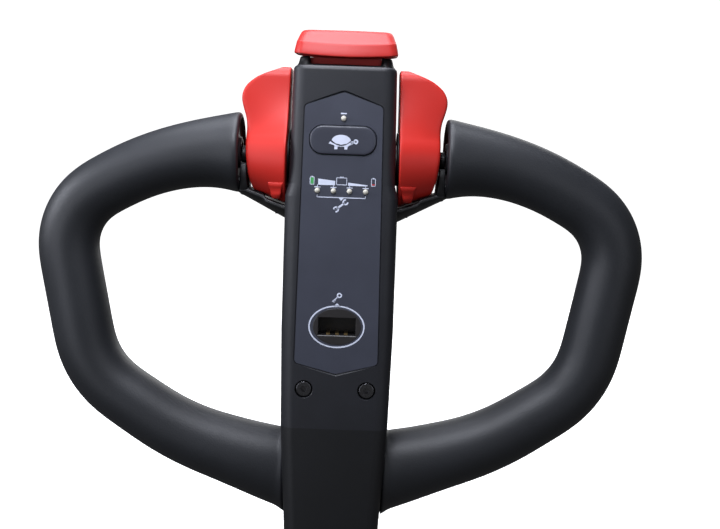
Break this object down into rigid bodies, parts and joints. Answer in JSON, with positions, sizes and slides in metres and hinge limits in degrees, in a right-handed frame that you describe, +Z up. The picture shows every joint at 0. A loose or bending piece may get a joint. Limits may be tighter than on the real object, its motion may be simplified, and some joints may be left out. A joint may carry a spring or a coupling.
{
  "type": "electric pallet truck tiller head",
  "caption": "Control handle of a powered pallet truck: two closed grip loops beside a tower with keypad, thumb throttle wings, reversing button on top and bolt-on neck.",
  "frame": {"origin": "centre of the neck's bottom face, which bolts to the tiller arm", "axes": "+Z up along the head away from the arm, -Y the way the keypad faces, +X to the right for someone looking at the keypad"},
  "size_m": [0.354, 0.0585, 0.299],
  "materials": {
    "black_moulding": "fine spark-eroded grain, satin black",
    "black_cover": "fine spark-eroded grain, satin black",
    "grip_skin": "fine leathery moulding grain, dark charcoal",
    "steel": "zinc-plated",
    "black_steel": "black oxide",
    "panel": "satin membrane film, blue-grey",
    "switch_body": "moulded",
    "clear_lens": "clear, domed",
    "bezel": "semi-gloss black",
    "brass": "machined",
    "board": "green solder mask",
    "white_connector": "natural nylon",
    "rubber": "matt",
    "red": "satin signal red",
    "white_bush": "acetal",
    "rear_button": "satin"
  },
  "bodies": {
    "head": {"arm_inserts": "brass", "battery_leds": "clear_lens", "belly_guide": "black_moulding", "belly_springs": "steel", "belly_switch": "switch_body", "board_screws": "steel", "cable_grommet": "rubber", "circuit_board": "board", "cover_screws": "black_steel", "cradle_screws": "black_steel", "front_cover": "black_cover", "hall_sensor": "switch_body", "harness_connector": "white_connector", "key_bezel": "bezel", "key_contacts": "brass", "key_socket": "bezel", "keypad_panel": "panel", "left_cradle": "black_moulding", "left_grip": "grip_skin", "left_loop_tube": "steel", "rear_cover": "black_cover", "rear_screws": "black_steel", "rear_switches": "switch_body", "return_spring": "steel", "right_cradle": "black_moulding", "right_grip": "grip_skin", "right_loop_tube": "steel", "rocker_pin": "steel", "speed_switch": "switch_body", "spine_plate": "steel", "status_led": "clear_lens", "tiller_base": "black_moulding", "tower_bushes": "white_bush"},
    "butterfly": {"butterfly_shaft": "steel", "wing_pins": "steel", "left_wing": "red", "right_wing": "red", "magnet_carrier": "white_bush", "sensor_magnet": "steel"},
    "belly_button": {"belly_cap": "red", "belly_plunger": "red"},
    "speed_key": {"speed_button": "panel"},
    "lift_key": {"lift_rocker": "rear_button"},
    "horn_key": {"horn_button": "rear_button"}
  },
  "joints": [
    {"name": "throttle_turn", "type": "hinge", "parent": "head", "child": "butterfly", "pos_m": [0, 0, 0.228], "axis": [1, 0, 0], "range_deg": [-35, 35], "stiffness_Nm_per_rad": 0.6},
    {"name": "belly_press", "type": "slide", "parent": "head", "child": "belly_button", "axis": [0, 0, -1], "range_m": [0, 0.0045], "stiffness_N_per_m": 1500, "springref_m": -0.004, "deforming": ["belly_springs"]},
    {"name": "speed_press", "type": "slide", "parent": "head", "child": "speed_key", "axis": [0, 1, 0], "range_m": [0, 0.0008], "stiffness_N_per_m": 1500, "springref_m": -0.001},
    {"name": "lift_rock", "type": "hinge", "parent": "head", "child": "lift_key", "pos_m": [0, 0.025, 0.176], "axis": [1, 0, 0], "range_deg": [-6, 6], "stiffness_Nm_per_rad": 0.3},
    {"name": "horn_press", "type": "slide", "parent": "head", "child": "horn_key", "axis": [0, -1, 0], "range_m": [0, 0.0015], "stiffness_N_per_m": 1000, "springref_m": -0.002}
  ]
}
